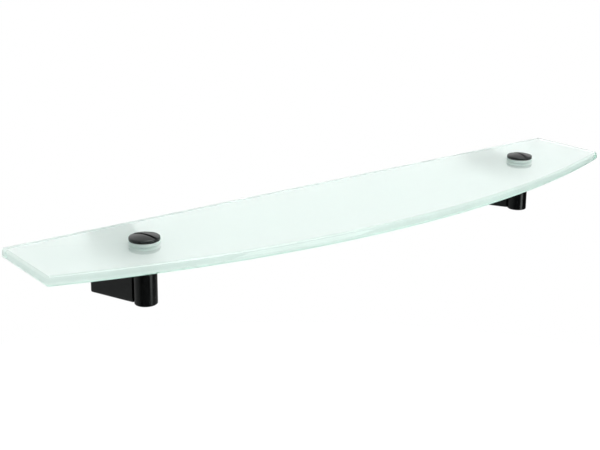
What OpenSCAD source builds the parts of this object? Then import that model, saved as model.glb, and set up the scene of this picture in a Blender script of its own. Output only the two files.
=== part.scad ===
// Bow-fronted glass wall shelf on two post brackets.
//
// Frame: the wall is the plane Y = 0, the room lies towards -Y, +Z is up and +X runs along
// the wall to the right. The origin is the middle of the four wall screw holes.
// Each bracket is a hollow cast arm that hooks over a wall block, with a round post screwed to
// its nose. The glass is clamped on the post by a domed coin-slot screw, between soft washers.

/* [Glass] */
// Length of the glass along the wall
glass_w = 600; // [520:10:800]
// Depth of the glass at its middle, from back edge to the crown of the bow
glass_mid_depth = 128; // [116:1:170]
// Depth of the glass at its two ends
glass_end_depth = 77; // [66:1:100]
// Thickness of the glass
glass_t = 8; // [6:1:12]
// Radius of the four corners of the glass, seen from above
glass_corner_r = 3; // [1:0.5:8]
// Diameter of the two drilled holes in the glass
glass_hole_d = 10; // [9.5:0.5:12]
// Distance from each end of the glass to the middle of its drilled hole
hole_inset = 91; // [40:1:140]
// Gap between the wall and the back edge of the glass
glass_wall_gap = 1; // [0.5:0.5:3]

/* [Brackets] */
// Distance from the wall to the axis of the posts
reach = 54.5; // [50:0.5:60]
// Diameter of the post
post_d = 18; // [16:0.1:22]
// Length of the post
post_len = 37.7; // [34:0.1:48]
// Rounding of the lower edge of the post
post_edge_r = 0.8; // [0.2:0.1:2]

/* [Arm] */
// Width of the arm where it meets the wall
arm_wall_w = 37; // [36:0.5:44]
// Width of the arm at its blunt nose, beside the post
arm_nose_w = 17.6; // [16.5:0.1:22]
// Height of the arm where it meets the wall
arm_wall_h = 43.2; // [41:0.1:50]
// Height of the arm at its nose
arm_nose_h = 35.2; // [32:0.1:38]
// How far the top of the arm rises from its nose to the wall
arm_top_rise = 3.5; // [0.5:0.1:4]
// How far the nose stands in front of the rear face of the post
nose_overlap = 3.25; // [1:0.25:5]
// Space between the underside of the glass and the top of the arm at the wall
arm_glass_gap = 1; // [0.8:0.1:3]
// Thickness of the sides of the arm, and of its top at the nose
arm_skin = 3; // [2.5:0.1:3.5]
// Thickness of the floor of the arm, which holds the set screw's thread
arm_floor = 4; // [3.5:0.1:4.5]
// Thickness of the front wall of the arm behind the post
arm_front_t = 6; // [4:0.5:8]
// Rounding of the lower corner of the arm at the wall, seen from the side
arm_heel_r = 1.3; // [0.5:0.1:3]

/* [Cap screw] */
// Diameter of the cap
cap_d = 24; // [22:0.5:30]
// Height of the cap's rim, measured at its edge before that is rounded
cap_rim_h = 2.4; // [1.8:0.1:4]
// Height of the dome above the rim
cap_dome_h = 1.9; // [1.2:0.1:4]
// Rounding of the edge between rim and dome
cap_edge_r = 1.1; // [0.3:0.1:1.5]
// Width of the coin slot
slot_w = 2.3; // [1.5:0.1:3]
// Depth of the coin slot below the top of the dome
slot_depth = 2.2; // [1.2:0.1:2.6]
// Diameter of the threaded stud of the cap screw
stud_d = 6; // [5:1:6]
// Length of the stud that is screwed into the post
stud_grip = 13; // [10:0.5:14]
// Direction of the left coin slot, turned from straight out of the wall
left_slot_turn = 20; // [-90:1:90]
// Direction of the right coin slot, turned from straight out of the wall
right_slot_turn = -14; // [-90:1:90]

/* [Washers and sleeve] */
// Thickness of the soft washer between cap and glass
upper_washer_t = 2.7; // [1:0.1:4]
// Thickness of the soft washer between glass and post
lower_washer_t = 2.7; // [1:0.1:4]
// Gap between the sleeve and the hole in the glass, all round
sleeve_gap = 0.15; // [0.1:0.05:0.3]
// Gap between the stud and the soft parts that it passes, all round
soft_gap = 0.3; // [0.2:0.05:0.5]

/* [Wall block] */
// Width of the wall block
block_w = 28; // [24:0.5:28]
// Thickness of the wall block, from the wall to its front
block_t = 6; // [5:0.5:7]
// How far below the pocket's ceiling the top of the block lies
block_top_gap = 0.2; // [0.1:0.05:0.4]
// How far the front edge of the block's foot stays above the arm's floor
block_foot_gap = 0.6; // [0.4:0.1:1.2]
// Rise of the undercut foot from its front edge to the wall
block_undercut = 2.2; // [1.5:0.1:2.6]
// Upright distance between the two wall screw holes of a block
hole_spacing = 18; // [16:1:18]
// Diameter of the wall screw holes
hole_d = 4.5; // [4:0.1:5]
// Diameter of the countersink for the wall screw's head
countersink_d = 8.6; // [7.5:0.1:9]

/* [Fasteners] */
// Thread diameter of the screw that holds the post to the arm
post_screw_d = 5; // [4:1:6]
// Length of the post screw under its head
post_screw_len = 16; // [14:1:18]
// Diameter of the post screw's round head
post_screw_head_d = 8.5; // [8:0.5:10]
// Height of the post screw's head
post_screw_head_h = 5; // [4:0.5:6]
// Key size of the post screw, across the flats of its socket
post_screw_key = 4; // [3:0.5:5]
// Height of the post screw's axis above the wall holes' middle
post_screw_z = -2; // [-5:0.5:-1]
// Thickness of the split lock washer under the post screw's head
lock_washer_t = 1.2; // [1:0.1:1.6]
// Width of the lock washer's cut
lock_washer_slit = 1; // [0.5:0.1:1.5]
// Thread diameter of the set screw that locks the arm to its wall block
set_screw_d = 4; // [3:1:5]
// Length of the set screw
set_screw_len = 4; // [3.5:0.5:5]
// Key size of the set screw, across the flats of its socket
set_screw_key = 2; // [1.5:0.5:2.5]
// Distance from the wall to the axis of the set screw
set_screw_reach = 4.5; // [4:0.1:5]
// Gap all round between a thread and the hole it runs in
thread_gap = 0.05; // [0.02:0.01:0.1]

/* [Hidden] */
$fn = 96;

LEFT = -1;
RIGHT = 1;
// Overshoot of a cut past the face that it opens
cut = 1;
// Gap between two pieces that are pressed face to face
seat_gap = 0.02;
// How much larger than its nominal radius a fillet is cut
fillet_swell = 1.01;

// Heights, from the wall holes' middle, which lies halfway between the top of the arm's nose
// and the lowest edge of the arm at the wall
nose_top_z = (arm_wall_h - arm_top_rise) / 2;
glass_low_z = nose_top_z + arm_top_rise + arm_glass_gap;
glass_top_z = glass_low_z + glass_t;
cap_low_z = glass_top_z + upper_washer_t;
post_top_z = glass_low_z - lower_washer_t;

// Radii
post_r = post_d / 2;
cap_r = cap_d / 2;
cap_h = cap_rim_h + cap_dome_h;
stud_r = stud_d / 2;
dome_r = (cap_r * cap_r + cap_dome_h * cap_dome_h) / (2 * cap_dome_h);
lower_washer_r = post_r;
glass_hole_r = glass_hole_d / 2;

// The bow of the glass is one arc through its two front corners and its crown
half_w = glass_w / 2;
bracket_x = half_w - hole_inset;
bow_rise = glass_mid_depth - glass_end_depth;
bow_r = (half_w * half_w + bow_rise * bow_rise) / (2 * bow_rise);
glass_back_y = -glass_wall_gap;
bow_y = glass_back_y - glass_mid_depth + bow_r;

// Places along the arm, from the wall towards the room
saddle_r = post_r + thread_gap;
saddle_y = -reach + saddle_r;
nose_y = -reach + post_r - nose_overlap;
pocket_end_y = saddle_y + arm_front_t;
floor_slope = (2 * nose_top_z - arm_nose_h) / -nose_y;
side_slope = (arm_wall_w - arm_nose_w) / 2 / -nose_y;

// The arm's outer half width and lower edge, and those of its pocket, at a distance y
function arm_half_w(y) = arm_wall_w / 2 + side_slope * y;
function arm_low_z(y) = -nose_top_z - floor_slope * y;
function pocket_half_w(y) = arm_half_w(y) - arm_skin;
function pocket_low_z(y) = arm_low_z(y) + arm_floor;
pocket_top_z = nose_top_z - arm_skin;

// The wall block and the set screw under its undercut foot
block_top_z = pocket_top_z - block_top_gap;
block_foot_z = pocket_low_z(-block_t) + block_foot_gap;
set_screw_r = set_screw_d / 2;
set_screw_tip_r = set_screw_r / 2;
set_screw_y = -set_screw_reach;
set_screw_top_z = block_foot_z - seat_gap
    + block_undercut * (block_t + set_screw_y - set_screw_tip_r) / block_t;

// The post screw's head seats on the lock washer, which seats on the arm's front wall
post_screw_r = post_screw_d / 2;
post_screw_seat_y = pocket_end_y + lock_washer_t;
stud_hole_depth = stud_grip + 1;
post_screw_hole_y = post_screw_seat_y - post_screw_len - 1;

// Circumradius of a hexagon from its size across the flats
function hex_r(flats) = flats / 2 / cos(30);

// Puts a piece on the post axis of one bracket, or on the wall behind it
module at_post(side) translate([side * bracket_x, -reach, 0]) children();
module at_wall(side) translate([side * bracket_x, 0, 0]) children();

// Turns a drawing made in the Y-Z plane into a plate of width w, centred on X = 0
module across(w) rotate([90, 0, 90]) translate([0, 0, -w / 2]) linear_extrude(w) children();

// A round bar along Y from y0 to y1
module bar_y(r, y0, y1, sides = $fn) {
    translate([0, y1, 0]) rotate([90, 0, 0]) cylinder(r = r, h = y1 - y0, $fn = sides);
}

// A ring that lies flat with its underside at height z
module ring(outer_r, inner_r, z, t) {
    translate([0, 0, z]) difference() {
        cylinder(r = outer_r, h = t);
        translate([0, 0, -cut]) cylinder(r = inner_r, h = t + 2 * cut);
    }
}

// Waste outside a fillet of radius r at centre c, whose sides it meets in directions a and b.
// The round is a touch larger than r, so that it crosses the sides at a clear angle.
module fillet_waste(c, r, a, b) {
    difference() {
        polygon([c, c + 2 * r * a, c + 2 * r * (a + b), c + 2 * r * b]);
        translate(c) circle(r * fillet_swell);
    }
}

// Outline of the glass seen from above: straight back and ends, one arc in front
module glass_outline() {
    r = glass_corner_r;
    fillet_x = half_w - r;
    fillet_y = bow_y - sqrt(pow(bow_r - r, 2) - fillet_x * fillet_x);
    difference() {
        intersection() {
            translate([-half_w, glass_back_y - glass_mid_depth]) square([glass_w, glass_mid_depth]);
            translate([0, bow_y]) circle(bow_r, $fn = 720);
        }
        for (side = [LEFT, RIGHT]) {
            fillet_waste([side * fillet_x, fillet_y], r,
                [side, 0], [side * fillet_x, fillet_y - bow_y] / (bow_r - r));
            fillet_waste([side * fillet_x, glass_back_y - r], r, [side, 0], [0, 1]);
        }
    }
}

// Flat toughened plate with a hole for each cap screw
module glass_shelf() {
    color([0.80, 0.92, 0.88, 0.6]) difference() {
        translate([0, 0, glass_low_z]) linear_extrude(glass_t) glass_outline();
        for (side = [LEFT, RIGHT]) {
            at_post(side) translate([0, 0, glass_low_z - cut])
                cylinder(r = glass_hole_r, h = glass_t + 2 * cut);
        }
    }
}

// Half of the cap's section, with the top of its dome at the origin
module cap_half_section() {
    edge_x = cap_r - cap_edge_r;
    rise = sqrt(pow(dome_r - cap_edge_r, 2) - edge_x * edge_x);
    difference() {
        intersection() {
            translate([0, -cap_h]) square([cap_r, cap_h]);
            translate([0, -dome_r]) circle(dome_r);
        }
        fillet_waste([edge_x, rise - dome_r], cap_edge_r,
            [1, 0], [edge_x, rise] / (dome_r - cap_edge_r));
    }
}

// Domed screw with a coin slot right across its cap
module cap_screw(side, slot_turn) {
    stud_len = upper_washer_t + glass_t + lower_washer_t + stud_grip;
    color([0.06, 0.06, 0.065]) at_post(side) rotate([0, 0, slot_turn]) difference() {
        union() {
            translate([0, 0, cap_low_z + cap_h]) rotate_extrude() cap_half_section();
            translate([0, 0, cap_low_z - stud_len]) cylinder(r = stud_r, h = stud_len);
        }
        translate([-slot_w / 2, -cap_r - cut, cap_low_z + cap_h - slot_depth])
            cube([slot_w, cap_d + 2 * cut, slot_depth + cut]);
    }
}

// Soft see-through washer under the cap
module upper_washer(side) {
    color([0.86, 0.90, 0.89, 0.7]) at_post(side)
        ring(cap_r, stud_r + soft_gap, glass_top_z, upper_washer_t);
}

// Plastic sleeve that keeps the stud off the glass
module hole_sleeve(side) {
    color([0.86, 0.90, 0.89, 0.7]) at_post(side)
        ring(glass_hole_r - sleeve_gap, stud_r + soft_gap, glass_low_z, glass_t);
}

// Soft washer that the glass rests on
module lower_washer(side) {
    color([0.86, 0.90, 0.89, 0.7]) at_post(side)
        ring(lower_washer_r, stud_r + soft_gap, post_top_z, lower_washer_t);
}

// Round post, drilled from above for the cap screw and from behind for the post screw
module post(side) {
    low_z = post_top_z - post_len;
    color([0.06, 0.06, 0.065]) at_post(side) difference() {
        rotate_extrude() {
            translate([0, low_z + post_edge_r]) square([post_r, post_len - post_edge_r]);
            translate([0, low_z]) square([post_r - post_edge_r, post_len]);
            translate([post_r - post_edge_r, low_z + post_edge_r]) circle(post_edge_r);
        }
        translate([0, 0, post_top_z - stud_hole_depth])
            cylinder(r = stud_r + thread_gap, h = stud_hole_depth + cut);
        translate([0, reach, post_screw_z])
            bar_y(post_screw_r + thread_gap, post_screw_hole_y, saddle_y);
    }
}

// Side view of the arm: top and floor spread towards the wall, with a rounded heel there
module arm_side_view() {
    steep = sqrt(1 + floor_slope * floor_slope);
    heel_z = arm_low_z(0) + arm_heel_r * (floor_slope + steep);
    difference() {
        polygon([
            [0, nose_top_z + arm_top_rise], [nose_y, nose_top_z],
            [nose_y, arm_low_z(nose_y)], [0, arm_low_z(0)]
        ]);
        fillet_waste([-arm_heel_r, heel_z], arm_heel_r, [1, 0], [-floor_slope, -1] / steep);
    }
}

// Plan of the arm or of its pocket, from the wall to a distance y
module flare_plan(wall_half_w, y) {
    end_half_w = wall_half_w + side_slope * y;
    polygon([[-wall_half_w, 0], [wall_half_w, 0], [end_half_w, y], [-end_half_w, y]]);
}

// Hollow that is open to the wall and takes the wall block and the post screw's head
module arm_pocket() {
    translate([0, 0, -arm_wall_h / 2]) intersection() {
        linear_extrude(arm_wall_h) {
            flare_plan(arm_wall_w / 2 - arm_skin, pocket_end_y);
            translate([-pocket_half_w(0), 0]) square([2 * pocket_half_w(0), cut]);
        }
        translate([0, 0, arm_wall_h / 2]) across(arm_wall_w) polygon([
            [cut, pocket_top_z], [pocket_end_y, pocket_top_z],
            [pocket_end_y, pocket_low_z(pocket_end_y)], [cut, pocket_low_z(cut)]
        ]);
    }
}

// Hollow cast arm, flared towards the wall, with a round saddle for the post
module arm(side) {
    color([0.06, 0.06, 0.065]) difference() {
        at_wall(side) intersection() {
            translate([0, 0, -arm_wall_h]) linear_extrude(2 * arm_wall_h)
                flare_plan(arm_wall_w / 2, nose_y);
            across(arm_wall_w) arm_side_view();
        }
        at_wall(side) arm_pocket();
        at_post(side) translate([0, 0, -arm_wall_h]) cylinder(r = saddle_r, h = 2 * arm_wall_h);
        at_wall(side) translate([0, 0, post_screw_z])
            bar_y(post_screw_r + soft_gap, saddle_y - cut, pocket_end_y + cut);
        at_wall(side) translate([0, set_screw_y, -arm_wall_h])
            cylinder(r = set_screw_r + thread_gap, h = arm_wall_h);
    }
}

// Socket-head screw that pulls the post into the arm's saddle
module post_screw(side) {
    color([0.62, 0.63, 0.65]) at_wall(side) translate([0, 0, post_screw_z]) difference() {
        union() {
            bar_y(post_screw_r, post_screw_seat_y - post_screw_len, post_screw_seat_y);
            bar_y(post_screw_head_d / 2, post_screw_seat_y, post_screw_seat_y + post_screw_head_h);
        }
        bar_y(hex_r(post_screw_key), post_screw_seat_y + post_screw_head_h / 2,
            post_screw_seat_y + post_screw_head_h + cut, sides = 6);
    }
}

// Split spring washer under the post screw's head
module lock_washer(side) {
    outer_r = post_screw_head_d / 2;
    color([0.62, 0.63, 0.65]) at_wall(side) translate([0, 0, post_screw_z]) difference() {
        bar_y(outer_r, pocket_end_y, post_screw_seat_y);
        bar_y(post_screw_r + soft_gap / 2, pocket_end_y - cut, post_screw_seat_y + cut);
        translate([-lock_washer_slit / 2, pocket_end_y - cut, 0])
            cube([lock_washer_slit, lock_washer_t + 2 * cut, outer_r + cut]);
    }
}

// Block that is screwed to the wall; the arm hooks over it and is locked under its foot
module wall_block(side) {
    color([0.70, 0.71, 0.73]) at_wall(side) difference() {
        across(block_w) polygon([
            [0, block_top_z], [-block_t, block_top_z],
            [-block_t, block_foot_z], [0, block_foot_z + block_undercut]
        ]);
        for (z = [-hole_spacing / 2, hole_spacing / 2]) {
            translate([0, 0, z]) {
                bar_y(hole_d / 2, -block_t - cut, cut);
                translate([0, -block_t, 0]) rotate([-90, 0, 0])
                    cylinder(r1 = countersink_d / 2, r2 = 0, h = countersink_d / 2);
            }
        }
    }
}

// Cone-point set screw, driven up through the arm's floor against the block's undercut foot
module set_screw(side) {
    tip_h = set_screw_r - set_screw_tip_r;
    low_z = set_screw_top_z - set_screw_len;
    color([0.30, 0.30, 0.31]) at_wall(side) translate([0, set_screw_y, low_z]) difference() {
        union() {
            cylinder(r = set_screw_r, h = set_screw_len - tip_h);
            translate([0, 0, set_screw_len - tip_h])
                cylinder(r1 = set_screw_r, r2 = set_screw_tip_r, h = tip_h);
        }
        translate([0, 0, -cut]) cylinder(r = hex_r(set_screw_key), h = set_screw_len / 2 + cut, $fn = 6);
    }
}

glass_shelf();
cap_screw(LEFT, left_slot_turn);  // left_cap_screw
upper_washer(LEFT);  // left_upper_washer
hole_sleeve(LEFT);  // left_hole_sleeve
lower_washer(LEFT);  // left_lower_washer
post(LEFT);  // left_post
arm(LEFT);  // left_arm
post_screw(LEFT);  // left_post_screw
lock_washer(LEFT);  // left_lock_washer
wall_block(LEFT);  // left_wall_block
set_screw(LEFT);  // left_set_screw
cap_screw(RIGHT, right_slot_turn);  // right_cap_screw
upper_washer(RIGHT);  // right_upper_washer
hole_sleeve(RIGHT);  // right_hole_sleeve
lower_washer(RIGHT);  // right_lower_washer
post(RIGHT);  // right_post
arm(RIGHT);  // right_arm
post_screw(RIGHT);  // right_post_screw
lock_washer(RIGHT);  // right_lock_washer
wall_block(RIGHT);  // right_wall_block
set_screw(RIGHT);  // right_set_screw
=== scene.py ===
# %% [markdown]
# # A bow-fronted glass shelf on two black wall brackets
# The CAD model gives every piece its place and its size. This lesson dresses it: each piece
# gets the small radii, the screw thread and the finish that the eye looks for, and then the
# shelf is lit and looked at as a shop would show it, in front of white. The frame is loaded
# first, and its box is kept.

# %% Load the CAD frame
import math
import bmesh
import bpy
import numpy as np
from mathutils import Matrix, Vector


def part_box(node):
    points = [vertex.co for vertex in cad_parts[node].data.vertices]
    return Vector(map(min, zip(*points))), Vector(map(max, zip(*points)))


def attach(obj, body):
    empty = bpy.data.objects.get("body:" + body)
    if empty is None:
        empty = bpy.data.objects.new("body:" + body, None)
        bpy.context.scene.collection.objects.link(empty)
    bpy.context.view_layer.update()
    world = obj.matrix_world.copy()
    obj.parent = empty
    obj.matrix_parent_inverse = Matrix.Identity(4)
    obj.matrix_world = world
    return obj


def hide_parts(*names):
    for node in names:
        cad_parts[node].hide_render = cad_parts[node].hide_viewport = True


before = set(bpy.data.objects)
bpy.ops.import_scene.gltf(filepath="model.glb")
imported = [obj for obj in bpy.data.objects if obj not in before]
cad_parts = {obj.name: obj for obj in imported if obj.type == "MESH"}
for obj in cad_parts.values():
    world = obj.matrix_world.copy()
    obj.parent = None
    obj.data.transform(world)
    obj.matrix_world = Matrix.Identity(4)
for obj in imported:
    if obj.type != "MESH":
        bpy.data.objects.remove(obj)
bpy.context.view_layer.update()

# %% [markdown]
# Shapes are worked out in millimetres, as a maker would write them, and become metres when
# they are put into a mesh. Places come from the boxes of the CAD nodes, so a piece can't
# drift away from the frame.

# %% Sizes read from the frame
MM = 0.001
SIDES = ("left", "right")


def box_mm(node_name):
    """Lowest and highest corner of a CAD node at rest, in millimetres."""
    return [np.array(corner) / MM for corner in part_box(node_name)]


glass_low, glass_high = box_mm("glass_shelf")
half_w, glass_back_y = glass_high[:2]
crown_y, glass_low_z, glass_top_z = glass_low[1], glass_low[2], glass_high[2]
post_low, post_high = box_mm("right_post")
post_r = (post_high[0] - post_low[0]) / 2
bracket_x, post_y = ((post_low + post_high) / 2)[:2]
print(f"glass {2 * half_w:.1f} mm wide, posts at x = ±{bracket_x:.1f}, y = {post_y:.1f}")

# %% [markdown]
# ## The camera
# A shelf like this is long and shallow, so it is looked at from its left end, a little from
# above, with a long lens that keeps the far end from shrinking too much. The lens is shifted
# downwards a little: that puts the shelf in the middle of the view while the camera looks
# over it, and the posts stay upright. Three directions turn the camera: the one it looks in,
# and those that lie to its right and below it, leaned over by a slight roll.

# %% Camera
CAMERA_PLACE = (-0.6050, -0.7534, 0.30425)
YAW, PITCH, ROLL = (math.radians(d) for d in (37.954, 14.293, -0.472))
LENS_MM, SENSOR_MM = 66.855, 36.0
SHIFT_X, SHIFT_Y = -0.00298333, -0.11743333


def add_object(name, data):
    """A new object that shows this data, linked to the scene."""
    made = bpy.data.objects.new(name, data)
    bpy.context.scene.collection.objects.link(made)
    return made


forward = np.array([math.sin(YAW) * math.cos(PITCH), math.cos(YAW) * math.cos(PITCH),
                    -math.sin(PITCH)])
across = np.array([math.cos(YAW), -math.sin(YAW), 0.0])
below = np.cross(forward, across)
right = across * math.cos(ROLL) + below * math.sin(ROLL)
down = below * math.cos(ROLL) - across * math.sin(ROLL)
turn = Matrix(np.column_stack([right, -down, -forward]).tolist()).to_4x4()

camera = add_object("camera", bpy.data.cameras.new("camera"))
camera.matrix_world = Matrix.Translation(CAMERA_PLACE) @ turn
camera.data.lens, camera.data.sensor_width = LENS_MM, SENSOR_MM
camera.data.shift_x, camera.data.shift_y = SHIFT_X, SHIFT_Y
camera.data.clip_start = 0.01
bpy.context.scene.camera = camera
bpy.context.scene.view_settings.view_transform = "Standard"
print(f"camera: a {LENS_MM} mm lens on a {SENSOR_MM} mm sensor, at {CAMERA_PLACE}")

# %% [markdown]
# ## Tools for materials
# Colours are written as a painter's sRGB hex values and turned to the linear numbers that
# Cycles works in. One small helper adds a node: plain values go onto its sockets, and the
# output of another node is linked in. Another starts a material and gives the place of each
# point on the object, from which all patterns here are drawn.

# %% Colour, node and material helpers
def colour(code):
    """An sRGB hex colour such as '#c8d2ce' as linear red, green, blue and an alpha of 1.

    A channel c is c / 12.92 up to 0.04045, and ((c + 0.055) / 1.055) to the power 2.4 above.
    """
    srgb = np.array([int(code[i:i + 2], 16) for i in (1, 3, 5)]) / 255
    linear = np.where(srgb <= 0.04045, srgb / 12.92, ((srgb + 0.055) / 1.055) ** 2.4)
    return (*linear.tolist(), 1.0)


def node(tree, kind, inputs=None, **settings):
    """Adds a shader node, sets its properties, and fills its sockets with values or links."""
    made = tree.nodes.new("ShaderNode" + kind)
    for name, value in settings.items():
        setattr(made, name, value)
    for name, value in (inputs or {}).items():
        if isinstance(value, bpy.types.NodeSocket):
            tree.links.new(value, made.inputs[name])
        else:
            made.inputs[name].default_value = value
    return made


def new_material(name):
    """An empty node material: its tree and the place of each point on the object, in metres."""
    material = bpy.data.materials.new(name)
    material.use_nodes = True
    tree = material.node_tree
    tree.nodes.clear()
    return material, tree, node(tree, "TexCoord").outputs["Object"]


print("middle grey in linear light:", [round(v, 3) for v in colour("#808080")[:3]])

# %% [markdown]
# A noise pattern's scale is worked out from the real size of its largest blotches. Most of a
# noise lies between 0.3 and 0.7, and a Map Range node stretches that middle to the values
# that a surface takes, such as its roughness.

# %% Scale and middle of a noise
NOISE_MIDDLE = {"From Min": 0.3, "From Max": 0.7}


def grain(size_mm):
    """Scale of a noise whose largest blotches are size_mm across: 1 / (size in metres)."""
    return 1 / (size_mm * MM)


print(f"blotches of 0.8 mm need a noise scale of {grain(0.8):.0f}")

# %% [markdown]
# ## Satin glass
# The shelf is clear float glass, toughened, whose underside was etched with acid. From above
# the eye sees a clean polished face with mirror-like reflections, and under it a milky layer
# that spreads the light. The green that float glass shows at its edge tints it, and it comes
# from the depth of the glass, so it is an absorption inside and not a colour on it. One glass
# material covers the whole plate, because light that goes in through one face has to come out
# through the same glass; an attribute says how etched each face is.

# %% Satin glass
MILKY = 0.62


def satin_glass():
    """Polished float glass with an etched face: 'etched' sets how rough and milky a face is.

    Roughness is etched x matt + polished, and transmission is 1 - etched x MILKY.
    """
    material, tree, place = new_material("etched_float_glass")
    etched = node(tree, "Attribute", attribute_name="etched").outputs["Fac"]
    # Real etch pits are far too fine to show, so their blotches are drawn 0.8 mm across
    frost = node(tree, "TexNoise", {"Vector": place, "Scale": grain(0.8), "Detail": 3.0})
    # Float glass is wavy over some centimetres, which the eye sees in long reflections
    waves = node(tree, "TexNoise", {"Vector": place, "Scale": grain(60.0), "Detail": 1.0})
    matt = node(tree, "MapRange", {
        **NOISE_MIDDLE, "Value": frost.outputs["Fac"], "To Min": 0.62, "To Max": 0.70})
    polished = node(tree, "MapRange", {
        **NOISE_MIDDLE, "Value": waves.outputs["Fac"], "To Min": 0.0, "To Max": 0.012})
    rough = node(tree, "Math", {0: etched, 1: matt.outputs[0], 2: polished.outputs[0]},
                 operation="MULTIPLY_ADD")
    clear = node(tree, "Math", {0: etched, 1: -MILKY, 2: 1.0}, operation="MULTIPLY_ADD")
    surface = node(tree, "BsdfPrincipled", {
        "Base Color": colour("#ffffff"), "Transmission Weight": clear.outputs[0], "IOR": 1.5,
        "Roughness": rough.outputs[0],
    })
    inside = node(tree, "VolumeAbsorption", {"Color": colour("#b6f6e2"), "Density": 11.0})
    node(tree, "OutputMaterial", {"Surface": surface.outputs[0], "Volume": inside.outputs[0]})
    return material


FINISH = {"satin_glass": satin_glass()}
print("first finish:", FINISH["satin_glass"].name)

# %% [markdown]
# ## Black powder coat and soft plastic
# Arms, posts and caps are die-cast zinc under a satin black powder coat. It gives the eye almost
# no colour of its own, but a soft highlight, which the fine orange-peel skin of melted powder
# breaks up a little. The trace of green in that highlight is a painted reflection: it stands in
# for the green glass that the coat mirrors. The washers are soft see-through PVC, moulded and a
# little cloudy, so they look pale and blur what lies behind them.

# %% Powder coat and PVC
def powder_coat():
    """Satin black coat: 9 mm clouds of roughness 0.15 to 0.21 and a bump of 0.012 mm."""
    material, tree, place = new_material("satin_black_powder_coat")
    # Half a millimetre is too fine to show wave by wave: the peel shows as a softer highlight
    peel = node(tree, "TexNoise", {"Vector": place, "Scale": grain(0.45), "Detail": 2.0})
    cloud = node(tree, "TexNoise", {"Vector": place, "Scale": grain(9.0), "Detail": 2.0})
    gloss = node(tree, "MapRange", {
        **NOISE_MIDDLE, "Value": cloud.outputs["Fac"], "To Min": 0.15, "To Max": 0.21})
    orange_peel = node(tree, "Bump", {
        "Height": peel.outputs["Fac"], "Distance": 0.012 * MM, "Strength": 0.6})
    surface = node(tree, "BsdfPrincipled", {
        "Base Color": colour("#070708"), "Specular IOR Level": 0.40,
        # The pale green specular tint is a painted reflection of the green glass, not a colour of
        # the neutral black coat
        "Specular Tint": colour("#f4fffb"), "Roughness": gloss.outputs[0],
        "Normal": orange_peel.outputs[0],
    })
    node(tree, "OutputMaterial", {"Surface": surface.outputs[0]})
    return material


def soft_plastic():
    """Moulded see-through PVC: 2.5 mm clouds of roughness 0.30 to 0.42."""
    material, tree, place = new_material("clear_soft_pvc")
    cloud = node(tree, "TexNoise", {"Vector": place, "Scale": grain(2.5), "Detail": 2.0})
    gloss = node(tree, "MapRange", {
        **NOISE_MIDDLE, "Value": cloud.outputs["Fac"], "To Min": 0.30, "To Max": 0.42})
    surface = node(tree, "BsdfPrincipled", {
        "Base Color": colour("#f2fefa"), "Transmission Weight": 0.2, "IOR": 1.5,
        "Roughness": gloss.outputs[0],
    })
    node(tree, "OutputMaterial", {"Surface": surface.outputs[0]})
    return material


FINISH.update({"black_coat": powder_coat(), "clear_washer": soft_plastic()})
print("finishes so far:", ", ".join(m.name for m in FINISH.values()))

# %% [markdown]
# ## Plated and bare metal
# The screws are zinc-plated steel with a faint blue chromate: pale and bluish, with a broad
# glint. The wall block is bare cast zinc, greyer and duller, and the set screw is blackened
# steel, dark with a dull shine. All three are metals whose tone drifts in small patches, so
# one recipe serves. The crystals of a plating are too fine to show, so its patches are drawn
# about a millimetre across.

# %% Metals
def metal(name, light, dark, patch_mm, rough, dent_mm):
    """Metal whose tone and roughness drift in patches, with dents a third as wide."""
    material, tree, place = new_material(name)
    patches = node(tree, "TexNoise", {
        "Vector": place, "Scale": grain(patch_mm), "Detail": 4.0}).outputs["Fac"]
    dents = node(tree, "TexNoise", {
        "Vector": place, "Scale": grain(patch_mm / 3), "Detail": 3.0}).outputs["Fac"]
    tone = node(tree, "Mix", {"Factor": patches, 6: colour(dark), 7: colour(light)},
                data_type="RGBA")
    gloss = node(tree, "MapRange", {
        **NOISE_MIDDLE, "Value": patches, "To Min": rough[0], "To Max": rough[1]})
    dented = node(tree, "Bump", {"Height": dents, "Distance": dent_mm * MM, "Strength": 0.5})
    surface = node(tree, "BsdfPrincipled", {
        "Base Color": tone.outputs[2], "Metallic": 1.0, "Roughness": gloss.outputs[0],
        "Normal": dented.outputs[0],
    })
    node(tree, "OutputMaterial", {"Surface": surface.outputs[0]})
    return material


FINISH.update({
    "zinc_screw": metal("zinc_plated_steel", "#c3c7cb", "#9aa0a6", 1.2, (0.28, 0.42), 0.006),
    "cast_block": metal("cast_zinc", "#a6a8aa", "#7f8285", 1.5, (0.45, 0.62), 0.02),
    "black_screw": metal("blackened_steel", "#303134", "#1b1c1e", 0.8, (0.38, 0.5), 0.006),
})
print("finishes:", ", ".join(m.name for m in FINISH.values()))

# %% [markdown]
# ## Tools for shapes
# Every shape is a sheet of points in rows and columns, worked out as whole arrays. Sheets
# that share an edge are merged into one closed skin, and the skin's faces are turned
# outwards.

# %% Sheets of points
def sheet(points, close_rows=False, close_columns=False):
    """Points (rows, columns, 3) and the quads between neighbours; a closed way wraps round."""
    rows, columns = points.shape[:2]
    index = np.arange(rows * columns).reshape(rows, columns)
    if close_rows:
        index = np.vstack([index, index[:1]])
    if close_columns:
        index = np.hstack([index, index[:, :1]])
    quads = np.stack([index[:-1, :-1], index[1:, :-1], index[1:, 1:], index[:-1, 1:]], axis=-1)
    return points.reshape(-1, 3), quads


print("a sheet of 3 by 4 points has quads in", sheet(np.zeros((3, 4, 3)))[1].shape[:2])

# %% [markdown]
# A small radius on an edge is what catches the light on a real piece, so outlines get tangent
# arcs at their corners before they are carried round an axis, as on a lathe.

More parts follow.
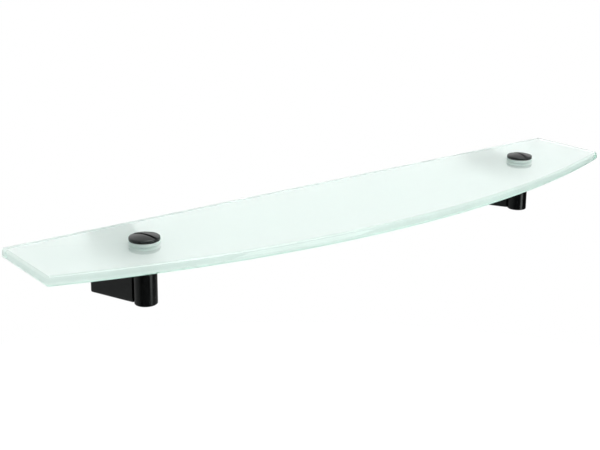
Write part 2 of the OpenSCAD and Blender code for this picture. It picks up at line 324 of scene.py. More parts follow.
# %% Rounded outlines and turned shapes
def rounded(corners, steps=5):
    """An outline with arcs: a corner (a, b, radius) becomes a tangent arc of steps chords.

    The arc's centre lies on the corner's bisector, radius / sin(half the corner's angle)
    away, and its two ends are the feet of that centre on the two sides.
    """
    corners = np.array(corners, float)
    place, radius = corners[:, :2], corners[:, 2]
    outline = []
    for i in range(len(corners)):
        if radius[i] == 0:
            outline.append(place[i][None])
            continue
        sides = place[[i - 1, (i + 1) % len(corners)]] - place[i]
        sides /= np.linalg.norm(sides, axis=1)[:, None]
        half = math.acos(np.clip(sides[0] @ sides[1], -1, 1)) / 2
        bisector = (sides[0] + sides[1]) / 2 / math.cos(half)
        centre = place[i] + bisector * radius[i] / math.sin(half)
        feet = place[i] + sides * radius[i] / math.tan(half) - centre
        sweep = math.pi - 2 * half
        share = np.linspace(0, 1, steps + 1)[:, None] * sweep
        arc = (feet[0] * np.sin(sweep - share) + feet[1] * np.sin(share)) / math.sin(sweep)
        outline.append(centre + arc)
    return np.vstack(outline)


def turned(outline, centre, sides=72, closed=False, along_y=False):
    """An outline of (radius, height) carried round an axis: x = r cos a, y = r sin a, z = h.

    With along_y the axis lies along Y, and the height runs that way.
    """
    angle = np.linspace(0, 2 * np.pi, sides, endpoint=False)[:, None]
    radius, height = np.asarray(outline, float).T
    x, y = radius * np.cos(angle), radius * np.sin(angle)
    z = np.broadcast_to(height, x.shape)
    ring = [x, z, y] if along_y else [x, y, z]
    points = np.stack(ring, axis=-1) + np.asarray(centre, float)
    return sheet(points, close_rows=True, close_columns=closed)


print("a rounded triangle has", len(rounded([(0, 0, 1), (9, 0, 1), (0, 9, 1)])), "points")

# %% [markdown]
# A helper joins the sheets of a piece into one mesh. It merges the points that sheets share,
# turns the faces outwards, and leaves edges sharp where the surface really bends.

# %% Pieces from sheets
MERGE_DISTANCE = 2e-6
SHARP_ANGLE = math.radians(35)


def smooth(mesh):
    """Smooth faces, except for edges that bend by more than the sharp angle."""
    mesh.polygons.foreach_set("use_smooth", np.ones(len(mesh.polygons), bool))
    mesh.set_sharp_from_angle(angle=SHARP_ANGLE)


def skin(name, sheets, etched=None):
    """One closed mesh from several sheets, in metres, its faces outwards and smooth."""
    sizes = [len(points) for points, _ in sheets]
    starts = np.concatenate([[0], np.cumsum(sizes)[:-1]])
    points = np.vstack([points for points, _ in sheets]) * MM
    quads = np.vstack([q.reshape(-1, 4) + start for (_, q), start in zip(sheets, starts)])
    mesh = bpy.data.meshes.new(name)
    mesh.from_pydata(points.tolist(), [], quads.tolist())
    if etched is not None:
        mesh.attributes.new("etched", "FLOAT", "FACE").data.foreach_set("value", etched)
    merged = bmesh.new()
    merged.from_mesh(mesh)
    bmesh.ops.remove_doubles(merged, verts=merged.verts, dist=MERGE_DISTANCE)
    bmesh.ops.recalc_face_normals(merged, faces=merged.faces)
    merged.to_mesh(mesh)
    merged.free()
    smooth(mesh)
    return add_object(name, mesh)


print(f"points closer than {MERGE_DISTANCE / MM:.3f} mm become one")

# %% [markdown]
# Holes are taken out of a finished skin with a cutter, as a drill does. Then the piece is
# dressed: it gets its finish and the body it moves with, and the CAD nodes it stands for are
# hidden. Flat faces stay flat to the eye beside their small radii because the normals are
# weighted by the size of each face.

# %% Cutting and dressing
def cut_away(made, waste):
    """Takes the cutters' shapes out of a piece for good, and removes the cutters."""
    for cutter in waste:
        step = made.modifiers.new("cut", "BOOLEAN")
        step.object, step.operation, step.solver = cutter, "DIFFERENCE", "EXACT"
    bpy.context.view_layer.update()
    evaluated = made.evaluated_get(bpy.context.evaluated_depsgraph_get())
    mesh = bpy.data.meshes.new_from_object(evaluated)
    made.modifiers.clear()
    made.data = mesh
    smooth(mesh)
    for cutter in waste:
        bpy.data.objects.remove(cutter)
    return made


def dress(made, finish, body, *nodes):
    """Gives a piece its finish and body, hides the CAD nodes it stands for, and says how large
    its mesh is.
    """
    made.data.materials.clear()
    made.data.materials.append(FINISH[finish])
    weighted = made.modifiers.new("flat_faces_stay_flat", "WEIGHTED_NORMAL")
    weighted.keep_sharp = True
    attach(made, body)
    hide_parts(*nodes)
    print(f"{made.name}: {len(made.data.polygons)} faces, {finish}, rides on {body}")


print("CAD nodes to dress:", len(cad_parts))

# %% [markdown]
# ## The glass plate
# The plate has a straight back, straight ends and one long arc in front, with small rounded
# corners. The plan is drawn once, for the left half, and closed over the middle line.

# %% Plan of the glass
GLASS_END_DEPTH, CORNER_R = 77.0, 3.0
BACK_STEPS, CORNER_ARC_STEPS, BOW_STEPS, MIDDLE_STEPS = 12, 8, 60, 9


def plan_arc(centre, radius, start, stop, steps):
    """Points of an arc, centre + radius (cos, sin), and their outward normals (cos, sin)."""
    angle = np.linspace(start, stop, steps + 1)
    normal = np.column_stack([np.cos(angle), np.sin(angle)])
    return centre + radius * normal, normal


def half_outline():
    """Left half of the plan, anticlockwise from the back's middle: its points, their outward
    normals, and how many of the last ones lie on the middle line, where there is no edge.

    The bow's radius is (w² + rise²) / (2 rise), for half the width w and the bow's rise. The
    front corner's centre lies (bow's radius - corner's radius) away from the bow's centre.
    """
    rise = glass_back_y - crown_y - GLASS_END_DEPTH
    bow_r = (half_w ** 2 + rise ** 2) / (2 * rise)
    bow = np.array([0.0, crown_y + bow_r])
    corner_x = CORNER_R - half_w
    corner_drop = math.sqrt((bow_r - CORNER_R) ** 2 - corner_x ** 2)
    back = np.array([corner_x, glass_back_y - CORNER_R])
    front = np.array([corner_x, bow[1] - corner_drop])
    meet = math.atan2(front[1] - bow[1], front[0]) + 2 * math.pi
    back_x = np.linspace(0, corner_x, BACK_STEPS + 1)[:-1]
    middle_y = np.linspace(crown_y, glass_back_y, MIDDLE_STEPS + 1)[1:-1]
    runs = [
        (np.column_stack([back_x, np.full(BACK_STEPS, glass_back_y)]),
         np.tile([0.0, 1.0], (BACK_STEPS, 1))),
        plan_arc(back, CORNER_R, math.pi / 2, math.pi, CORNER_ARC_STEPS),
        plan_arc(front, CORNER_R, math.pi, meet, CORNER_ARC_STEPS),
        plan_arc(bow, bow_r, meet, 1.5 * math.pi, BOW_STEPS),
        (np.column_stack([0 * middle_y, middle_y]), np.zeros((len(middle_y), 2))),
    ]
    points, normals = (np.vstack(part) for part in zip(*runs))
    _, first = np.unique(points.round(6), axis=0, return_index=True)
    keep = np.sort(first)
    return points[keep], normals[keep], len(middle_y)


print("points round half of the plan:", len(half_outline()[0]))

# %% [markdown]
# The edge is ground and polished: a narrow band that bulges by a few degrees, with a wide
# rounded arris above and below it, so that the edge runs from light to dark as it mirrors the
# room. The back edge, which faces the wall, is only ground, with small arrises.

# %% Section of the glass's edge
ARRIS, BACK_ARRIS, BULGE = 2.7, 0.9, math.radians(8)
ARRIS_STEPS, BAND_STEPS = 9, 4


def quarter(radius, steps):
    """How far in and how far down a quarter round goes: r (1 - sin a), r (1 - cos a)."""
    angle = np.linspace(0, np.pi / 2, steps + 1)
    return np.column_stack([radius * (1 - np.sin(angle)), radius * (1 - np.cos(angle))])


def ground_edge(arris):
    """How far in and how high the edge is, downwards, from its normal's elevation a.

    The band is an arc of radius R up to the bulge angle b: R (1 - cos a), R sin a. The arris
    goes on from there with its own radius r: R (1 - cos b) + r (cos b - cos a), and
    R sin b + r (sin a - sin b), where R is such that the height at a = 90° is half the plate.
    """
    half_t = (glass_top_z - glass_low_z) / 2
    big_r = (half_t - arris * (1 - math.sin(BULGE))) / math.sin(BULGE)
    a = np.concatenate([np.linspace(np.pi / 2, BULGE, ARRIS_STEPS + 1),
                        np.linspace(BULGE, 0, BAND_STEPS + 1)[1:]])
    b = np.minimum(a, BULGE)
    inward = big_r * (1 - np.cos(b)) + arris * (np.cos(b) - np.cos(a))
    height = big_r * np.sin(b) + arris * (np.sin(a) - np.sin(b))
    middle = (glass_top_z + glass_low_z) / 2
    return (np.concatenate([inward, inward[-2::-1]]),
            middle + np.concatenate([height, -height[-2::-1]]))


print(f"the arris starts {ground_edge(ARRIS)[0][0]:.2f} mm inside the outline")

# %% [markdown]
# Each half of the plate is one sheet that runs round its drilled hole: for each point of the
# outline it goes over the arris, down the edge, under the plate to the hole, up the bore, and
# back over the top. The section of the edge changes into that of the back edge round the back
# corners. The underside is etched through, the back edge is ground, which leaves it almost as
# matt, and the other edges are polished.

# %% Half of the plate
HOLE_R, HOLE_ARRIS, HOLE_ARRIS_STEPS = 5.0, 0.4, 3
ETCHED, GROUND, POLISHED = 1.0, 0.8, 0.05
FACES_BACK = 0.99


def half_plate():
    """Points and quads of the left half, and how etched each quad is.

    The edge's section is front + (back - front) n, where n is how far the outline's normal
    points to the back. The middle line has no edge, so its quads there are left out.
    """
    plan, normal, inner = half_outline()
    hole = np.array([-bracket_x, post_y])
    outward = plan - hole
    outward /= np.linalg.norm(outward, axis=1)[:, None]
    front_in, front_z = ground_edge(ARRIS)
    back_in, back_z = ground_edge(BACK_ARRIS)
    backward = np.maximum(normal[:, 1:], 0)
    edge_in = front_in + (back_in - front_in) * backward
    edge_z = front_z + (back_z - front_z) * backward
    bore = quarter(HOLE_ARRIS, HOLE_ARRIS_STEPS)
    bore_in = np.concatenate([bore[:, 0], bore[::-1, 0]])
    bore_z = np.concatenate([glass_low_z + bore[:, 1], glass_top_z - bore[::-1, 1]])
    outer = plan[:, None] - normal[:, None] * edge_in[:, :, None]
    rim = hole + outward[:, None] * (HOLE_R + bore_in)[None, :, None]
    flat = np.concatenate([outer, rim], axis=1)
    height = np.hstack([edge_z, np.broadcast_to(bore_z, (len(plan), len(bore_z)))])
    steps = len(front_in)
    on_top = np.arange(steps) < steps // 2
    height[-inner:, :steps] = np.where(on_top, glass_top_z, glass_low_z)
    points, quads = sheet(np.dstack([flat, height]), close_rows=True, close_columns=True)
    etched = np.zeros(quads.shape[:2])
    etched[:, :steps - 1] = np.where(normal[:, 1:] > FACES_BACK, GROUND, POLISHED)
    etched[:, steps - 1] = ETCHED
    shown = np.ones(quads.shape[:2], bool)
    shown[-inner - 1:, :steps - 1] = False
    return points, quads[shown], etched[shown]


left_points, left_quads, etched = half_plate()
print("quads in half of the plate:", len(left_quads))

# %% [markdown]
# The other half is its mirror image, with each quad turned round so that it still faces
# outwards, and the two are merged on the middle line.

# %% Glass plate
mirrored = left_points * [-1, 1, 1]
glass = skin("glass_shelf_satin", [(left_points, left_quads), (mirrored, left_quads[:, ::-1])],
             np.tile(etched, 2))
dress(glass, "satin_glass", "shelf", "glass_shelf")

# %% [markdown]
# ## The cap screws
# A cap is a turned head with a flat dome and a well rounded edge, sawn across for a coin, on
# a threaded stud. The top is made of slices that run along the slot: each slice is a chord of
# the round head, and the slices lie close together where they round the slot's lips and its
# foot.

# %% Slices of a cap
SLOT_W, SLOT_LIP, SLOT_FOOT = 2.3, 0.12, 0.2
LIP_STEPS, BESIDE_STEPS = 4, 25
IN_SLOT = 99.0


def slices(cap_r):
    """Distance from the slot's middle, drop and rise of each slice on one side of it.

    Over the lip a slice drops by lip (1 - cos a) at the distance half + lip (1 - sin a). At
    the foot it rises by foot (1 - sin a) from the slot's floor, at half - foot (1 - cos a).
    A slice in the slot has IN_SLOT as its drop.
    """
    half = SLOT_W / 2
    a = np.linspace(0, np.pi / 2, LIP_STEPS + 1)
    lip = np.column_stack([half + SLOT_LIP * (1 - np.sin(a)), SLOT_LIP * (1 - np.cos(a)), 0 * a])
    foot = np.column_stack([half - SLOT_FOOT * (1 - np.cos(a)), 0 * a + IN_SLOT,
                            SLOT_FOOT * (1 - np.sin(a))])
    start = math.asin((half + SLOT_LIP) / cap_r)
    beyond = cap_r * np.sin(np.linspace(np.pi / 2, start, BESIDE_STEPS + 1))[:-1]
    outside = np.column_stack([beyond, 0 * beyond, 0 * beyond])
    return np.vstack([outside, lip, foot, [[0.0, IN_SLOT, 0]]])


print("slices on each side of the slot's middle:", len(slices(12.0)) - 1)

# %% [markdown]
# The height of a slice is that of the head, a dome that runs into a rounded edge. The slot
# is sawn level, so it runs out where the rounded edge falls below its floor.

# %% Top of a cap
SLOT_DEPTH, CAP_EDGE, CHORD_STEPS = 2.2, 1.1, 68


def head_height(distance, cap_r, dome_r, rise):
    """Height of the head, counted from its top, at a distance from its axis.

    Up to the tangent point it is the dome, sqrt(dome_r² - d²) - dome_r. Beyond that it is the
    rounded edge, rise - dome_r + sqrt(edge² - (d - cap_r + edge)²).
    """
    inner = cap_r - CAP_EDGE
    dome = np.sqrt(dome_r ** 2 - distance ** 2) - dome_r
    edge = np.sqrt(np.maximum(CAP_EDGE ** 2 - np.maximum(distance - inner, 0) ** 2, 0))
    return np.where(distance < inner * dome_r / (dome_r - CAP_EDGE), dome, rise - dome_r + edge)


def cap_top(cap_r, top_z, dome_r, rise):
    """Top of the head as slices x = const: z is the head, less the slot where there is one.

    The head less the drop never goes below the slot's floor, and the floor plus the rise
    never above the lip.
    """
    side = slices(cap_r)
    x, drop, rising = np.vstack([side, (side * [-1, 1, 1])[-2::-1]]).T[:, :, None]
    chord = np.sqrt(np.maximum(cap_r ** 2 - x ** 2, 0))
    y = chord * np.sin(np.linspace(-np.pi / 2, np.pi / 2, CHORD_STEPS + 1))
    head = head_height(np.minimum(np.hypot(x, y), cap_r), cap_r, dome_r, rise)
    depth = np.maximum(head + SLOT_DEPTH, 0)
    foot = np.minimum(rising, np.maximum(depth - SLOT_LIP, 0))
    floor_z = np.minimum(head, -SLOT_DEPTH) + foot
    z = top_z + np.where(drop == IN_SLOT, floor_z, head - np.minimum(drop, depth))
    return np.dstack([np.broadcast_to(x, y.shape), y, z])


print(f"slot: {SLOT_W} mm wide and {SLOT_DEPTH} mm deep in the middle")

# %% [markdown]
# The rim, the underside and the thread are rings carried round the outline of the top. A
# screw thread is a radius that rises and falls along the stud and shifts by one pitch in a
# turn. Its crests and roots are flattened, as those of a rolled thread are.

# %% Rim and thread of a cap
STUD_R, THREAD_PITCH, THREAD_DEPTH, THREAD_FLATNESS = 3.0, 1.0, 0.58, 1.35
RINGS_PER_TURN, SHANK_ABOVE, SHANK_BELOW, TIP_CHAMFER = 9, 0.3, 0.7, 0.5
FADE_LENGTH, FADE_START = 1.4, 0.3


def cap_rings(top, outline, low_z, stud_low_z):
    """Rings from the head's edge, notched by the slot, down its rim and along the thread.

    The thread's radius at angle a and height z follows a flattened wave of the phase
    z / pitch - a / turn, and fades to a plain shank under the head and at the tip.
    """
    loop = np.vstack([top[:, -1], top[-2:0:-1, 0]])
    angle = np.arctan2(loop[:, 1], loop[:, 0])
    z = np.arange(low_z - SHANK_ABOVE, stud_low_z + SHANK_BELOW, -THREAD_PITCH / RINGS_PER_TURN)
    wave = np.cos(2 * np.pi * (z[:, None] / THREAD_PITCH - angle / (2 * np.pi)))
    crest = 0.5 + 0.5 * np.clip(wave * THREAD_FLATNESS, -1, 1)
    to_end = np.minimum(low_z - z, z - stud_low_z)
    fade = np.clip(to_end / FADE_LENGTH - FADE_START, 0, 1)[:, None]
    thread = STUD_R - THREAD_DEPTH * (1 - crest) * fade - (1 - fade) * THREAD_DEPTH / 2
    shank = STUD_R - THREAD_DEPTH / 2
    tip = np.array([[shank, stud_low_z + TIP_CHAMFER], [shank - TIP_CHAMFER, stud_low_z],
                    [0, stud_low_z]])
    radius = np.vstack([np.repeat(outline[:, :1], len(angle), 1), thread,
                        np.repeat(tip[:, :1], len(angle), 1)])
    height = np.concatenate([outline[:, 1], z, tip[:, 1]])[:, None]
    rings = [radius * np.cos(angle), radius * np.sin(angle),
             np.broadcast_to(height, radius.shape)]
    return np.concatenate([loop[None], np.stack(rings, axis=-1)])


print(f"thread: {THREAD_PITCH} mm pitch, {THREAD_DEPTH} mm deep, on a {2 * STUD_R} mm stud")

# %% [markdown]
# The top and the rings are put together on the screw's axis, turned to the direction that
# each slot was left in when the screws were tightened.

# %% Cap screws
CAP_RIM, CAP_DOME, CAP_FOOT, NECK_DROP = 2.4, 1.9, 0.3, 0.2
SLOT_TURN = {"left": 20.0, "right": -14.0}


def axis_of(low, high):
    """The upright axis through the middle of a box, as its point at height 0."""
    return [(low[0] + high[0]) / 2, (low[1] + high[1]) / 2, 0]


def cap_screw(side):
    """Both sheets of one cap screw.

    The dome's radius is (r² + d²) / (2 d), for a head of radius r and a dome d high. The
    centre of the rounded edge lies sqrt((dome_r - edge)² - (r - edge)²) above the dome's.
    """
    low, high = box_mm(side + "_cap_screw")
    cap_r, top_z = (high[0] - low[0]) / 2, high[2]
    low_z = top_z - CAP_RIM - CAP_DOME
    dome_r = (cap_r ** 2 + CAP_DOME ** 2) / (2 * CAP_DOME)
    rise = math.sqrt((dome_r - CAP_EDGE) ** 2 - (cap_r - CAP_EDGE) ** 2)
    foot = quarter(CAP_FOOT, steps=4)[::-1]
    rim = np.column_stack([cap_r - foot[:, 0], low_z + foot[:, 1]])
    neck = [[STUD_R, low_z], [STUD_R - THREAD_DEPTH / 2, low_z - NECK_DROP]]
    top = cap_top(cap_r, top_z, dome_r, rise)
    rings = cap_rings(top, np.vstack([rim, neck]), low_z, low[2])
    angle = math.radians(SLOT_TURN[side])
    cos, sin = math.cos(angle), math.sin(angle)
    spin = np.array([[cos, sin, 0], [-sin, cos, 0], [0, 0, 1]])
    axis = axis_of(low, high)
    return [sheet(top @ spin + axis), sheet(rings @ spin + axis, close_columns=True)]


for side in SIDES:
    cap = skin(side + "_domed_cap_screw", cap_screw(side))
    dress(cap, "black_coat", side + "_cap", side + "_cap_screw")

# %% [markdown]
# ## Washers and sleeves
# These are turned shapes: an outline of radius and height with rounded corners, carried once
# round the post's axis. The washers keep a hair's breadth of air between themselves and the
# glass, as real soft washers do where they don't wet it, so that each shows its own edge. The
# washer under a cap rises with the cap's screw.

# %% Soft rings
AIR, SOFT_BORE_R = 0.03, 3.3
SOFT_RINGS = (("washer_above", "upper_washer", "{}_lift", 0.6, 0.2),
              ("sleeve_in_glass", "hole_sleeve", "shelf", 0.25, 0.15),
              ("washer_below", "lower_washer", "shelf", 0.4, 0.2))


def soft_ring(node_name, outer_round, inner_round):
    """A ring that fills a CAD node's box, less a little air above and below."""
    low, high = box_mm(node_name)
    outer_r, z0, z1 = (high[0] - low[0]) / 2, low[2] + AIR, high[2] - AIR
    corners = [(SOFT_BORE_R, z0, inner_round), (outer_r, z0, outer_round),
               (outer_r, z1, outer_round), (SOFT_BORE_R, z1, inner_round)]
    return turned(rounded(corners), axis_of(low, high), closed=True)


print("soft rings on each side:", ", ".join(ring[0] for ring in SOFT_RINGS))

# %% [markdown]
# ## Posts
# A post is a turned bar. It is drilled from above for the cap screw's stud, with the conical
# end that a drill leaves, and from behind for the screw that pulls it into its arm.

# %% Washers, sleeves and posts
POST_BORE_R, POST_BORE_DEPTH, BORE_POINT = 3.05, 14.0, 1.2
BORE_ROUND, POST_TOP_ROUND, POST_FOOT_ROUND = 0.3, 0.35, 0.8
SCREW_HOLE_R, SCREW_HOLE_POINT = 2.55, 1.0


def post(side):
    """A turned post: blind hole with a drill point from above, rounded edges, flat foot."""
    low, high = box_mm(side + "_post")
    bore_z = high[2] - POST_BORE_DEPTH
    corners = [(0, bore_z, 0), (POST_BORE_R, bore_z + BORE_POINT, 0),
               (POST_BORE_R, high[2], BORE_ROUND), (post_r, high[2], POST_TOP_ROUND),
               (post_r, low[2], POST_FOOT_ROUND), (0, low[2], 0)]
    return turned(rounded(corners, steps=6), axis_of(low, high), sides=96)


def drill(radius, start, stop, centre, point=0.0, along_y=False):
    """A cutter from start to stop along its axis, with a cone as high as point at its start."""
    outline = [(0, start - point), (radius, start), (radius, stop), (0, stop)]
    return skin("drill", [turned(outline, centre, sides=32, along_y=along_y)])


for side in SIDES:
    for name, kind, body, outer_round, inner_round in SOFT_RINGS:
        made = skin(f"{side}_{name}", [soft_ring(f"{side}_{kind}", outer_round, inner_round)])
        dress(made, "clear_washer", body.format(side), f"{side}_{kind}")
    pillar = skin(side + "_turned_post", [post(side)])
    low, high = box_mm(side + "_post_screw")
    hole = drill(SCREW_HOLE_R, low[1], high[1], (low + high) / 2 * [1, 0, 1],
                 SCREW_HOLE_POINT, along_y=True)
    dress(cut_away(pillar, [hole]), "black_coat", "shelf", side + "_post")

# %% [markdown]
# ## The cast arms
# An arm is a hollow casting: a rounded oblong that narrows from the wall to the post in width
# and in height. Its skin is one oblong carried from the wall to the nose. Each side of the
# oblong is cut at fixed shares of its length, so that rings of any size match point by point.
# Both arms come from one mould, so the box of the left one gives the sizes of both.

# %% Rings of an arm
arm_low, arm_high = box_mm("left_arm")
NOSE_Y, NOSE_HALF_W, ARM_ROUND, SADDLE_GAP = arm_low[1], 8.8, 0.8, 0.05
CORNER_STEPS, UP_STEPS, SADDLE_STEPS = 4, 10, 14
SADDLE_R = post_r + SADDLE_GAP

# The saddle's edge falls on a point of the last ring, so that the blunt nose stays crisp
saddle_edge = math.sqrt(SADDLE_R ** 2 - (NOSE_Y - post_y) ** 2) / (NOSE_HALF_W - ARM_ROUND)
ACROSS = np.concatenate([[-1], np.linspace(-saddle_edge, saddle_edge, SADDLE_STEPS + 1), [1]])

# A ring's lower and upper chain of points: a corner, the side between, and a corner
CHAIN = 2 * CORNER_STEPS + len(ACROSS)
LOWER, UPPER = slice(0, CHAIN), slice(CHAIN + UP_STEPS - 1, 2 * CHAIN + UP_STEPS - 1)


def oblong(half_width, low_z, high_z, radius, y):
    """A rounded oblong at the distance y, anticlockwise from the foot of its left side.

    Corners are arcs, centre + radius (cos, sin) in X and Z.
    """
    x, low, high = half_width - radius, low_z + radius, high_z - radius
    arc = np.linspace(0, np.pi / 2, CORNER_STEPS + 1)
    corner = radius * np.column_stack([np.cos(arc), np.sin(arc)])
    flat = np.column_stack([x * ACROSS[1:-1], 0 * ACROSS[1:-1]])
    up = np.linspace(low, high, UP_STEPS + 1)[1:-1]
    side = np.column_stack([np.full(len(up), half_width), up])
    ring = np.vstack([
        [-x, low] - corner, flat + [0, low_z], [x, low] + corner[::-1] * [1, -1], side,
        [x, high] + corner, flat[::-1] + [0, high_z], [-x, high] + corner[::-1] * [-1, 1],
        side[::-1] * [-1, 1],
    ])
    return np.column_stack([ring[:, 0], np.full(len(ring), y), ring[:, 1]])


def lid(ring):
    """Closes a ring of oblong(): each point below is joined straight up to the one above."""
    lower, upper = ring[LOWER], ring[UPPER][::-1]
    share = np.linspace(0, 1, UP_STEPS + 1)[None, :, None]
    return sheet(lower[:, None] + (upper - lower)[:, None] * share)


print("points in each ring of an arm:", len(oblong(9.0, -15.0, 20.0, ARM_ROUND, 0.0)))

# %% [markdown]
# From the wall to the nose the width, the lower and the upper edge run straight, and a
# rounded heel lifts the lower edge at the wall. Where the skin meets the wall it turns in by
# a small radius.

# %% Taper of an arm
NOSE_LOW_Z, TOP_RISE, HEEL_R, WALL_ROUND = -15.35, 3.5, 1.3, 0.3
wall_half_w = (arm_high[0] - arm_low[0]) / 2


def width(y):
    """Half the width: at the wall + (at the nose - at the wall) y / nose."""
    return wall_half_w + (NOSE_HALF_W - wall_half_w) * y / NOSE_Y


def low_edge(y):
    """Height of the lower edge: at the wall + (at the nose - at the wall) y / nose."""
    return arm_low[2] + (NOSE_LOW_Z - arm_low[2]) * y / NOSE_Y


def top_edge(y):
    """Height of the upper edge, which rises towards the wall: at the wall - rise y / nose."""
    return arm_high[2] - TOP_RISE * y / NOSE_Y


def skin_ring(y, inset=0.0):
    """Ring of the skin, moved in by inset. The heel lifts it by r - sqrt(r² - (r + y)²)."""
    past_heel = np.maximum(HEEL_R + y, 0)
    heel = HEEL_R - np.sqrt(np.maximum(HEEL_R ** 2 - past_heel ** 2, 0))
    return oblong(width(y) - inset, low_edge(y) + heel + inset, top_edge(y) - inset,
                  ARM_ROUND - inset, y)


def wall_ring(a):
    """Ring of the radius at the wall: r (1 - sin a) in front of it, moved in r (1 - cos a)."""
    return skin_ring(-WALL_ROUND * (1 - math.sin(a)), WALL_ROUND * (1 - math.cos(a)))


print(f"half width: {wall_half_w:.1f} mm at the wall, {NOSE_HALF_W} mm at the nose")

# %% [markdown]
# The nose is blunt, with a round saddle that the post sits in: the last rings follow the
# saddle, and go round a small radius onto its face. The pocket is a second oblong with a
# level ceiling, carried into the casting from the wall face.

# %% Nose, pocket and sheets of an arm
NOSE_ROUND, POCKET_ROUND, ARM_SKIN, ARM_FLOOR, ARM_FRONT = 0.35, 1.2, 3.0, 4.0, 6.0
POCKET_END_Y = post_y + SADDLE_R + ARM_FRONT
RINGS_ALONG = (-8.0, -16.0, -24.0, -32.0, -41.0)
HEEL_START, HEEL_STEPS, ROUND_STEPS, POCKET_STEPS = 1.2 * WALL_ROUND, 5, 4, 4


def nose_ring(a):
    """Ring of the radius at the nose, moved in by r (1 - cos a) and back by r (1 - sin a).

    It lies on the saddle, y = post + sqrt(r² - x²), or on the nose where that is further
    back, and its edges follow the slope of the arm's.
    """
    made = skin_ring(NOSE_Y, NOSE_ROUND * (1 - math.cos(a)))
    back = NOSE_ROUND * (1 - math.sin(a))
    saddle = post_y + np.sqrt(np.maximum(SADDLE_R ** 2 - made[:, 0] ** 2, 0))
    made[:, 1] = np.maximum(NOSE_Y, saddle) + back
    made[LOWER, 2] += low_edge(made[LOWER, 1]) - low_edge(NOSE_Y + back)
    made[UPPER, 2] += top_edge(made[UPPER, 1]) - top_edge(NOSE_Y + back)
    return made


def pocket_ring(y):
    """Ring of the pocket: the skin's size less the wall thickness, with a level ceiling."""
    return oblong(width(y) - ARM_SKIN, low_edge(y) + ARM_FLOOR,
                  arm_high[2] - TOP_RISE - ARM_SKIN, POCKET_ROUND, y)


def arm_sheets():
    """Skin, nose, pocket, pocket's end and wall face of an arm, with x = 0 in its middle."""
    # The heel's first ring lies past the radius at the wall, so the skin never folds back
    start = math.acos(1 - HEEL_START / HEEL_R)
    heel_y = -HEEL_R * (1 - np.cos(np.linspace(start, np.pi / 2, HEEL_STEPS + 1)))
    a = np.linspace(0, np.pi / 2, ROUND_STEPS + 1)
    outside = np.array([wall_ring(t) for t in a[::-1]]
                       + [skin_ring(y) for y in (*heel_y, *RINGS_ALONG)]
                       + [nose_ring(t) for t in a])
    pocket = np.array([pocket_ring(y)
                       for y in np.linspace(0, POCKET_END_Y, POCKET_STEPS + 1)])
    wall_face = np.array([outside[0], pocket[0]])
    return [sheet(outside, close_columns=True), lid(outside[-1]),
            sheet(pocket, close_columns=True), lid(pocket[-1]),
            sheet(wall_face, close_columns=True)]


print(f"the pocket is {-POCKET_END_Y:.1f} mm deep")

# %% [markdown]
# Two drilled holes finish the casting: one through the saddle for the post screw, and one
# through the floor for the set screw that locks the arm to its wall block.

# %% Cast arms
SADDLE_HOLE_R, SADDLE_HOLE_Y = 2.8, (-52, -38)
FLOOR_HOLE_R, FLOOR_HOLE_Z = 2.05, (-24, -12)

for side in SIDES:
    low, high = box_mm(side + "_arm")
    middle = (low[0] + high[0]) / 2
    casting = skin(side + "_cast_arm",
                   [(points + [middle, 0, 0], quads) for points, quads in arm_sheets()])
    screw_z = sum(box_mm(side + "_post_screw"))[2] / 2
    set_y = sum(box_mm(side + "_set_screw"))[1] / 2
    waste = [drill(SADDLE_HOLE_R, *SADDLE_HOLE_Y, [middle, 0, screw_z], along_y=True),
             drill(FLOOR_HOLE_R, *FLOOR_HOLE_Z, [middle, set_y, 0])]
    dress(cut_away(casting, waste), "black_coat", "shelf", side + "_arm")

# %% [markdown]
# ## Screws, lock washers and wall blocks
# These small parts are already right in the CAD model but for their edges, which no machine
# leaves knife-sharp. Each gets a copy of its CAD mesh, merged into a closed skin, with a
# small bevel.

# %% Small hardware
HARDWARE = (("post_screw", "zinc_screw", 0.2), ("lock_washer", "zinc_screw", 0.12),
            ("wall_block", "cast_block", 0.35), ("set_screw", "black_screw", 0.12))
FLAT_ANGLE, BEVEL_ANGLE = math.radians(1), math.radians(30)


def softened(node_name, name, bevel_mm):
    """A merged copy of a CAD node with its sharp edges bevelled."""
    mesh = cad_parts[node_name].data.copy()
    mesh.name = name
    merged = bmesh.new()
    merged.from_mesh(mesh)
    bmesh.ops.remove_doubles(merged, verts=merged.verts, dist=MERGE_DISTANCE)
    bmesh.ops.dissolve_limit(merged, angle_limit=FLAT_ANGLE, verts=merged.verts,
                             edges=merged.edges)
    merged.to_mesh(mesh)
    merged.free()
    mesh.set_sharp_from_angle(angle=SHARP_ANGLE)
    made = add_object(name, mesh)
    bevel = made.modifiers.new("broken_edges", "BEVEL")
    bevel.width, bevel.segments = bevel_mm * MM, 2
    bevel.limit_method, bevel.angle_limit = "ANGLE", BEVEL_ANGLE
    return made


for side in SIDES:
    for kind, finish, bevel_mm in HARDWARE:
        made = softened(f"{side}_{kind}", f"{side}_{kind}_finished", bevel_mm)
        dress(made, finish, "shelf", f"{side}_{kind}")

# %% [markdown]
# ## Floor
# The shelf hangs at its real height of 1.2 m over a pale floor. Rays from the camera, from
# mirrors and through glass see it white, because for them it gives off some light of its own.
# For all other rays it is plain pale paint.

# %% Floor
FLOOR_Z, FLOOR_R = -1.2, 2.6


def seen_directly(tree):
    """1 for rays from the camera, from a mirror and through glass, 0 for the rest: the
    largest of the three flags."""
    path = node(tree, "LightPath")
    both = node(tree, "Math", {0: path.outputs["Is Camera Ray"],
                               1: path.outputs["Is Glossy Ray"]}, operation="MAXIMUM")
    return node(tree, "Math", {0: both.outputs[0], 1: path.outputs["Is Transmission Ray"]},
                operation="MAXIMUM").outputs[0]


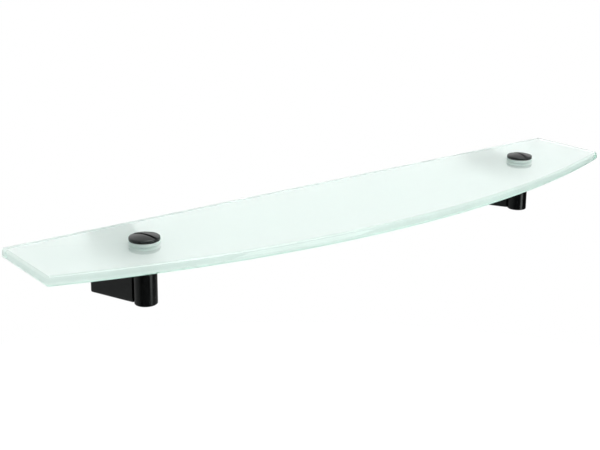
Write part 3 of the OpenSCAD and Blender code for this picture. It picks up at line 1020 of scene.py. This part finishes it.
disc = turned([(0, FLOOR_Z / MM), (FLOOR_R / MM, FLOOR_Z / MM)], [0, 0, 0], sides=96)
floor = skin("pale_floor", [disc])
floor_material, tree, _ = new_material("pale_floor_paint")
paint = node(tree, "BsdfDiffuse", {"Color": colour("#e6e7e7")})
glow = node(tree, "Emission", {"Color": colour("#ffffff"), "Strength": 0.6})
lit = node(tree, "AddShader", {0: paint.outputs[0], 1: glow.outputs[0]})
mixed = node(tree, "MixShader", {0: seen_directly(tree), 1: paint.outputs[0],
                                 2: lit.outputs[0]})
node(tree, "OutputMaterial", {"Surface": mixed.outputs[0]})
floor.data.materials.append(floor_material)
print(f"floor: a disc {2 * FLOOR_R} m across, {-FLOOR_Z} m below the shelf")

# %% [markdown]
# ## Room
# Black pieces have no colour of their own to show, so they are drawn by what they mirror:
# the room is darker low down, most of all in front, which gives the posts their dark cores.
# The strength of its light is level x (1 - low x near). Low goes from 0 above to 1 near the
# horizon and below it, near is the share of light that is lost there, and level is less than
# 1 where the room only lights things. The camera, and what the glass lets through, see plain
# white: for their rays low is 0 and level is 1.

# %% Room
SKY_LIGHT, LOW_BEHIND, LOW_IN_FRONT = 0.45, 0.32, 0.02

world = bpy.data.worlds.new("soft_white_room")
world.use_nodes = True
bpy.context.scene.world = world
tree = world.node_tree
tree.nodes.clear()
toward = node(tree, "SeparateXYZ", {0: node(tree, "TexCoord").outputs["Generated"]})
low_down = node(tree, "MapRange", {
    "Value": toward.outputs["Z"], "From Min": 0.22, "From Max": 0.02})
near = node(tree, "MapRange", {
    "Value": toward.outputs["Y"], "From Min": 0.3, "From Max": -0.2,
    "To Min": 1 - LOW_BEHIND, "To Max": 1 - LOW_IN_FRONT})
path = node(tree, "LightPath")
straight = node(tree, "Math", {0: path.outputs["Is Camera Ray"],
                               1: path.outputs["Is Transmission Ray"]}, operation="MAXIMUM")
dimmed = node(tree, "Math", {0: low_down.outputs[0], 1: straight.outputs[0]},
              operation="SUBTRACT", use_clamp=True)
lost = node(tree, "Math", {0: dimmed.outputs[0], 1: near.outputs[0]}, operation="MULTIPLY")
kept = node(tree, "Math", {0: 1.0, 1: lost.outputs[0]}, operation="SUBTRACT")
level = node(tree, "MapRange", {"Value": seen_directly(tree), "To Min": SKY_LIGHT, "To Max": 1.0})
strength = node(tree, "Math", {0: level.outputs[0], 1: kept.outputs[0]}, operation="MULTIPLY")
sky = node(tree, "Background", {"Color": colour("#ffffff"), "Strength": strength.outputs[0]})
node(tree, "OutputWorld", {"Surface": sky.outputs[0]})
print(f"room: light of {SKY_LIGHT} above, and {LOW_IN_FRONT} of that low down in front")

# %% [markdown]
# ## Lamps
# Two soft boxes do the rest. A wide one hangs overhead, a little to the right, and lights the
# milky glass and the tops of the caps. An upright one stands in front and to the right, and
# draws the soft streak on each post.

# %% Lamps
SHELF_MIDDLE = Vector((0.0, -0.06, 0.0))


def soft_box(name, place, size, watts):
    """A rectangular area lamp at a place, turned to shine at the middle of the shelf."""
    lamp = bpy.data.lights.new(name, "AREA")
    lamp.shape, lamp.size, lamp.size_y, lamp.energy = "RECTANGLE", *size, watts
    look = (SHELF_MIDDLE - Vector(place)).to_track_quat("-Z", "Y")
    made = add_object(name, lamp)
    made.matrix_world = Matrix.Translation(place) @ look.to_matrix().to_4x4()
    print(f"{name}: {size[0]} by {size[1]} m, {watts} W")


soft_box("overhead_soft_box", (0.3, -0.35, 1.6), (1.6, 1.2), 24.5)
soft_box("front_soft_box", (0.455, -1.39, -0.02), (0.6, 1.1), 5.2)
